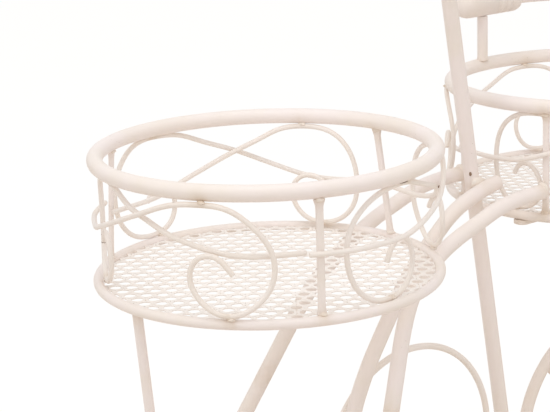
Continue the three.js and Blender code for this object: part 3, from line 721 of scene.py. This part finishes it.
frame_beads = bmesh.new()
for i, (at, size) in enumerate((
        (leg_foot + Vector((0, 0, 5)), (7.6, 6.6, 3.4)),
        (mirrored(leg_foot, -1) + Vector((0, 0, 5)), (7.6, 6.6, 3.4)),
        (tie_points[0] + Vector((0, 3, 0)), (5, 4, 5)), (tie_points[-1] + Vector((0, -3, 0)), (5, 4, 5)),
        (tie_middle + Vector((0, 0, 4)), (5.4, 5.4, 3)), (stay_top, (4.6, 5, 2.4)),
        (centre_end + Vector((-7, -2, 0)), (5, 7, 7)), (seat_point(68) + Vector((0, -6.6, 0)), (8, 3, 5)),
        (ring_at + Vector((-76, -4, 60)), (4, 4, 4)), (ring_at + Vector((0, -4, -90)), (5, 4, 4)))):
    bead(frame_beads, at, size, 40 + i)
for i, side in enumerate((1, -1)):
    at = mirrored(rail_points[0], side)
    bead(frame_beads, at + Vector((-1.5, 0, 3)), (3.4, 7.2, 5.4), 60 + i)
finished("frame_weld_beads", frame_beads, (), WELD_PAINT, None, (), 5, "frame")
# A dark spot of painted shade in the gap where the side rail meets the seat post.
seat_shade_mark = bead(bmesh.new(), seat_point(RAIL_MEETS_SEAT) + Vector((-6.8, -4.1, 10.8)), (1.2, 1.2, 2.0), 71)
finished("seat_post_scorch", seat_shade_mark, (), SHADE_SPOT_PAINT, None, (), 5, "frame")


# ---- wheels ----
ACROSS = Vector((0, 1, 0))


def wheel(name, node, centre, radius, hub_long, spokes):
    """A wheel of bent tube with a turned hub and rod spokes."""
    bm = bmesh.new()
    spoke_end = radius - TYRE_R
    torus(bm, centre, spoke_end, TYRE_R, 144, 18, ACROSS)
    half = hub_long / 2
    hub = [
        (BORE_R, -half), (9.0, -half), (9.5, -half + 0.7), (9.5, -half + 2.6), (8.0, -half + 3.8),
        (7.5, -half + 6), (7.5, half - 6), (8.0, half - 3.8), (9.5, half - 2.6), (9.5, half - 0.7),
        (9.0, half), (BORE_R, half), (BORE_R, -half),
    ]
    hub_bm = spun(bmesh.new(), hub, ACROSS, centre, 40, Vector((1, 0, 0)))
    scratch = bpy.data.meshes.new("hub")
    hub_bm.to_mesh(scratch)
    hub_bm.free()
    bm.from_mesh(scratch)
    bpy.data.meshes.remove(scratch)
    ends = []
    for i in range(spokes):
        a = math.radians(90 + 360 * i / spokes)
        out = Vector((math.cos(a), 0, math.sin(a)))
        straight(bm, centre + out * 7.2, centre + out * (spoke_end - TYRE_R + 1.5), 2.0, 12, 0.2, 16,
                 lambda s: 1 + 0.7 * max(0, 1 - s / 0.07) ** 2 + 0.7 * max(0, 1 - (1 - s) / 0.07) ** 2)
        ends += [centre + out * (spoke_end - TYRE_R), centre + out * 9]
    finished(name, bm, node, WHEEL_PAINT, None, ends, 6)


def acorn_nut(name, node, centre, side, long):
    """A six-sided nut with a domed cap."""
    bm = bmesh.new()
    turn = Matrix.Rotation(math.radians(-90 * side), 4, "X")
    body = bmesh.ops.create_cone(bm, cap_ends=True, cap_tris=False, segments=6, radius1=7.9, radius2=7.9,
                                 depth=long * 0.5)
    bmesh.ops.translate(bm, vec=(0, 0, long * 0.25), verts=body["verts"])
    bmesh.ops.bevel(bm, geom=bm.edges[:], offset=0.5, offset_type="OFFSET", segments=2, profile=0.5,
                    affect="EDGES", material=-1)
    profile = [(6.2, long * 0.44), (6.1, long * 0.6), (5.2, long * 0.8), (3.4, long * 0.93),
               (0.001, long * 0.99)]
    dome = spun(bmesh.new(), profile, Vector((0, 0, 1)), Vector((0, 0, 0)), 28, Vector((1, 0, 0)))
    scratch = bpy.data.meshes.new("dome")
    dome.to_mesh(scratch)
    dome.free()
    bm.from_mesh(scratch)
    bpy.data.meshes.remove(scratch)
    loose = [e for e in bm.edges if e.is_boundary]
    bmesh.ops.holes_fill(bm, edges=loose, sides=0)
    finished(name, bm, node, TUBE_PAINT, Matrix.Translation(centre) @ turn)


AXLE_END = REAR_WHEEL_Y + REAR_HUB_LONG / 2 + 1
FRONT_AXLE_END = BLADE_Y + BLADE_R + 2
front_hub = Vector((BASKET_X, 0, FRONT_WHEEL_R))
for side, name in ((1, "left"), (-1, "right")):
    rear_hub = Vector((REAR_AXLE_X, side * REAR_WHEEL_Y, REAR_WHEEL_R))
    wheel(f"rear_spoked_wheel_{name}", f"rear_wheel_{name}", rear_hub, REAR_WHEEL_R, REAR_HUB_LONG, 6)
    acorn_nut(f"rear_acorn_nut_{name}", f"rear_hub_cap_{name}",
              Vector((REAR_AXLE_X, side * (AXLE_END + GAP), REAR_WHEEL_R)), side, 6)
    acorn_nut(f"front_acorn_nut_{name}", f"front_axle_nut_{name}",
              Vector((BASKET_X, side * (FRONT_AXLE_END + GAP), FRONT_WHEEL_R)), side, 6)
wheel("front_spoked_wheel", "front_wheel", front_hub, FRONT_WHEEL_R, FRONT_HUB_LONG, 8)
front_axle = straight(bmesh.new(), front_hub - ACROSS * FRONT_AXLE_END, front_hub + ACROSS * FRONT_AXLE_END,
                      AXLE_R, 20, 0.3, 16)
finished("front_axle_rod", front_axle, "front_axle", TUBE_PAINT)

# ---- fork ----
strap_top = RING_Z - LOWER_ROD_R - GAP
strap_long = 2 * LOWER_RING_R + 2
STRAP_WIDE = 14
STRAP_THICK = 4
front_stay_head = seat_point(STAYS_MEET_SEAT)
for side, name in ((1, "left"), (-1, "right")):
    strap = bmesh.new()
    bmesh.ops.create_cube(strap, size=1.0)
    bmesh.ops.scale(strap, vec=(strap_long, STRAP_WIDE, STRAP_THICK), verts=strap.verts)
    corners = [e for e in strap.edges if abs(e.verts[0].co.z - e.verts[1].co.z) > 3]
    bmesh.ops.bevel(strap, geom=corners, offset=6.2, offset_type="OFFSET", segments=6, profile=0.5,
                    affect="EDGES", material=-1)
    bmesh.ops.bevel(strap, geom=strap.edges[:], offset=0.6, offset_type="OFFSET", segments=2, profile=0.5,
                    affect="EDGES", material=-1)
    bmesh.ops.translate(strap, vec=(BASKET_X, side * BLADE_Y, strap_top - STRAP_THICK / 2), verts=strap.verts)
    ends = [Vector((BASKET_X + s * LOWER_RING_R * 0.97, side * BLADE_Y, strap_top)) for s in (-1, 1)]
    finished(f"basket_strap_{name}", strap, f"fork_strap_{name}", TUBE_PAINT, None, ends, 12)
    blade_top = Vector((BASKET_X, side * BLADE_Y, strap_top - STRAP_THICK - GAP))
    blade_foot = Vector((BASKET_X, side * BLADE_Y, FRONT_WHEEL_R))
    blade = straight(bmesh.new(), blade_top, blade_foot, BLADE_R, 20, 0.25, 40,
                     lambda s: 1 + 0.25 * max(0, 1 - s / 0.06) ** 2)
    finished(f"fork_tube_{name}", blade, f"fork_blade_{name}", TUBE_PAINT, None,
             [blade_top, blade_foot], 11)
    stay_points = [Vector((front_stay_head.x + on, (SEAT_Y if on == 0 else 0) + side * out,
                           front_stay_head.z - drop))
                   for on, out, drop in ((0, 0, 0), (4.7, 10, -0.6), (14, 18, -2.6), (35.5, 23.4, -7.3))]
    stay_points.append(Vector((BASKET_X, side * BLADE_Y, FRONT_WHEEL_R - 2)))
    rod = sweep(bmesh.new(), smooth_path(stay_points, 50), LOWER_ROD_R, 14, 0.2)
    finished(f"front_stay_rod_{name}", rod, f"front_stay_{name}", TUBE_PAINT, None,
             [stay_points[0], stay_points[-1]], 10)

# ---- handlebar ----
bar_tip = GRIP_X + BAR_IN_GRIP
bar_bend = BASKET_X - BAR_LEVEL
bar_points = [under(bar_tip, BAR_OUT, -BAR_RISE), under(bar_bend, BAR_OUT, -BAR_RISE)]
for i in range(13):
    a = math.radians(90 - 15 * i)
    bar_points.append(under(BASKET_X + BAR_OUT * math.cos(a), BAR_OUT * math.sin(a), -BAR_RISE))
bar_points += [under(bar_bend, -BAR_OUT, -BAR_RISE), under(bar_tip, -BAR_OUT, -BAR_RISE)]
bar = sweep(bmesh.new(), smooth_path(bar_points, 130), RIM_TUBE_R, 20, 0.2)
foot_x = BASKET_X + (BAR_OUT + BASKET_R) / 2
finished("handlebar_tube", bar, "handlebar", TUBE_PAINT, None,
         [Vector((foot_x - 2, 0, RIM_Z + BAR_RISE))], 10)
for side, name in ((1, "left"), (-1, "right")):
    profile = [(0.001, 0), (GRIP_R - 9.6, 0.3), (GRIP_R - 6.4, 1.3), (GRIP_R - 3.2, 3.4),
               (GRIP_R - 1.2, 6.6), (GRIP_R - 0.2, 10.6), (GRIP_R, 15)]
    for i in range(3):
        at = 44 + 9 * i
        profile += [(GRIP_R, at), (GRIP_R - 0.9, at + 0.9), (GRIP_R - 0.9, at + 2.1), (GRIP_R, at + 3)]
    profile += [(GRIP_R, GRIP_LONG - 5), (GRIP_R - 0.8, GRIP_LONG - 2), (GRIP_R - 2.6, GRIP_LONG),
                (RIM_TUBE_R + 0.3, GRIP_LONG)]
    grip_end = Vector((GRIP_X, side * BAR_OUT, RIM_Z + BAR_RISE))
    grip = spun(bmesh.new(), profile, Vector((1, 0, 0)), grip_end, 48, Vector((0, 0, 1)))
    loose = [e for e in grip.edges if e.is_boundary]
    bmesh.ops.holes_fill(grip, edges=loose, sides=0)
    finished(f"hand_grip_{name}", grip, f"grip_{name}", GRIP_PAINT)
    riser_foot = Vector((RISER_X, side * BAR_OUT, RIM_Z + 4.6))
    riser_top = Vector((RISER_X, side * BAR_OUT, RIM_Z + BAR_RISE - GRIP_R))
    riser = straight(bmesh.new(), riser_foot, riser_top, RISER_R, 18, 0.2, 20,
                     lambda s: 1 + 0.2 * max(0, 1 - s / 0.12) ** 2)
    finished(f"grip_riser_{name}", riser, f"handlebar_riser_{name}", TUBE_PAINT, None,
             [Vector((RISER_X, side * BAR_OUT, RIM_Z + 6))], 9)
riser = straight(bmesh.new(), Vector((foot_x, 0, RIM_Z + 5.6)),
                 Vector((foot_x - 1, 0, RIM_Z + BAR_RISE - 5.6)), RISER_R, 18, 0.2, 20)
finished("bar_riser_front", riser, "handlebar_riser_front", TUBE_PAINT, None,
         [Vector((foot_x, 0, RIM_Z + 6)), Vector((foot_x - 1, 0, RIM_Z + BAR_RISE - 6))], 9)

# ---- saddle ----
PAN_LONG = 124
PAN_WIDE = 78
pan_half = [(0.5, 0.0), (0.485, 0.07), (0.42, 0.125), (0.3, 0.17), (0.15, 0.225), (0.02, 0.3), (-0.1, 0.39),
            (-0.22, 0.475), (-0.33, 0.5), (-0.42, 0.44), (-0.475, 0.31), (-0.495, 0.15), (-0.5, 0.0)]
saddle = bmesh.new()
line = pan_half + [(x, -y) for x, y in reversed(pan_half[1:-1])]
rim_verts = [saddle.verts.new((x * (PAN_LONG - 3), y * PAN_WIDE, 0)) for x, y in line]
bottom = saddle.faces.new(rim_verts)
for _ in range(2):
    bmesh.ops.inset_region(saddle, faces=[bottom], thickness=9, depth=0, use_even_offset=True)
grown = bmesh.ops.extrude_face_region(saddle, geom=saddle.faces[:], use_keep_orig=True)["geom"]
bmesh.ops.translate(saddle, vec=(0, 0, 6.5), verts=[g for g in grown if isinstance(g, bmesh.types.BMVert)])
bmesh.ops.recalc_face_normals(saddle, faces=saddle.faces)
outer_edges = [e for e in saddle.edges if not e.is_boundary and e.calc_face_angle(0) > 1.0]
bmesh.ops.bevel(saddle, geom=outer_edges, offset=2.6, offset_type="OFFSET", segments=4, profile=0.5,
                affect="EDGES", material=-1)
bmesh.ops.triangulate(saddle, faces=[f for f in saddle.faces if len(f.verts) > 4])
for v in saddle.verts:
    back = max(0.0, -v.co.x / PAN_LONG - 0.1)
    v.co.z += 6.5 * back - 1.6 * (1 - (2 * v.co.y / PAN_WIDE) ** 2) * (0.6 if v.co.z > 3 else 0.2) + 0.8
seat_top = seat_point(-SEAT_TOP)
saddle_at = (seat_top.x - 4, seat_top.y, seat_top.z + TUBE_R * SEAT_LEAN + 0.9)
bmesh.ops.translate(saddle, vec=saddle_at, verts=saddle.verts)
finished("saddle_pan", saddle, "saddle", TUBE_PAINT, None, [seat_top], 14)


# ---- studio ----
FLOOR_GLOW = 1.125
GLOW_SEEN = 0.76
GLOW_MIRRORED = 0.3
studio = Finish("pale_floor")
drift = studio.noise(studio.place(), 3, 2)
paper = studio.mix(tone("ece5de"), tone("e8e1d9"), drift)
diffuse = studio.node("ShaderNodeBsdfDiffuse", None, {"Color": paper, "Roughness": 0.6}).out("BSDF")
glow = studio.node("ShaderNodeEmission", None, {"Color": (1, 1, 1, 1), "Strength": FLOOR_GLOW}).out("Emission")
rays = studio.node("ShaderNodeLightPath")
shown = rays.out("Is Camera Ray") * GLOW_SEEN + rays.out("Is Glossy Ray") * GLOW_MIRRORED
shown = shown + rays.out("Is Transmission Ray") * GLOW_SEEN
mixed = studio.node("ShaderNodeMixShader", None, {0: shown, 1: diffuse, 2: glow}).out("Shader")
studio.node("ShaderNodeOutputMaterial", None, {"Surface": mixed})
floor_bm = bmesh.new()
bmesh.ops.create_grid(floor_bm, x_segments=8, y_segments=8, size=9.0)
floor_mesh = bpy.data.meshes.new("studio_floor")
floor_bm.to_mesh(floor_mesh)
floor_bm.free()
floor_mesh.materials.append(studio.material)
floor = bpy.data.objects.new("studio_floor", floor_mesh)
bpy.context.scene.collection.objects.link(floor)

world = bpy.data.worlds.new("studio")
bpy.context.scene.world = world
world.use_nodes = True
tree = world.node_tree
tree.nodes.clear()
path = tree.nodes.new("ShaderNodeLightPath")
room = tree.nodes.new("ShaderNodeBackground")
room.inputs["Color"].default_value = (1.0, 0.99, 0.98, 1)
room.inputs["Strength"].default_value = 0.745
white = tree.nodes.new("ShaderNodeBackground")
white.inputs["Color"].default_value = (1, 1, 1, 1)
white.inputs["Strength"].default_value = 1.0
choose = tree.nodes.new("ShaderNodeMixShader")
sky = tree.nodes.new("ShaderNodeOutputWorld")
tree.links.new(path.outputs["Is Camera Ray"], choose.inputs[0])
tree.links.new(room.outputs[0], choose.inputs[1])
tree.links.new(white.outputs[0], choose.inputs[2])
tree.links.new(choose.outputs[0], sky.inputs["Surface"])


def softbox(name, at, aim, wide, power):
    lamp = bpy.data.lights.new(name, "AREA")
    lamp.shape = "DISK"
    lamp.size = wide
    lamp.energy = power
    holder = bpy.data.objects.new(name, lamp)
    holder.location = at
    holder.rotation_euler = (Vector(aim) - Vector(at)).to_track_quat("-Z", "Y").to_euler()
    bpy.context.scene.collection.objects.link(holder)


softbox("top_softbox", (-0.5, -0.3, 2.3), (0, 0, 0.3), 1.6, 10.5)
softbox("left_softbox", (-2.1, 0.5, 1.6), (-0.1, 0, 0.35), 1.4, 5)
softbox("right_softbox", (-0.2, -2.2, 1.4), (0, 0, 0.35), 1.4, 4.2)

# ---- camera ----
PHI = math.radians(51)
FOCAL_PIXELS = 1791
PHOTO_PIXELS = 550
SENSOR_WIDE = 36
YAW, PITCH, ROLL = math.radians(0.25), math.radians(14.70), math.radians(-1.87)


def turned(v):
    """From the directions of the view's own layout to those of the cart."""
    return Vector((v.x * math.sin(PHI) + v.y * math.cos(PHI),
                   -(v.x * math.cos(PHI) - v.y * math.sin(PHI)), v.z))


ahead = Vector((math.sin(YAW) * math.cos(PITCH), math.cos(YAW) * math.cos(PITCH), -math.sin(PITCH)))
right = Vector((math.cos(YAW), -math.sin(YAW), 0))
top = right.cross(ahead)
right, top = (right * math.cos(ROLL) + top * math.sin(ROLL), top * math.cos(ROLL) - right * math.sin(ROLL))
turn = Matrix((turned(right), turned(top), -turned(ahead))).transposed().to_4x4()
lens = bpy.data.cameras.new("photo_view")
lens.sensor_width = SENSOR_WIDE
lens.lens = FOCAL_PIXELS / PHOTO_PIXELS * SENSOR_WIDE
lens.clip_start = 0.01
lens.clip_end = 50
camera = bpy.data.objects.new("photo_view", lens)
camera.matrix_world = Matrix.Translation((-1.0607, -1.0653, 0.7508)) @ turn
bpy.context.scene.collection.objects.link(camera)
bpy.context.scene.camera = camera
bpy.context.scene.view_settings.view_transform = "Standard"
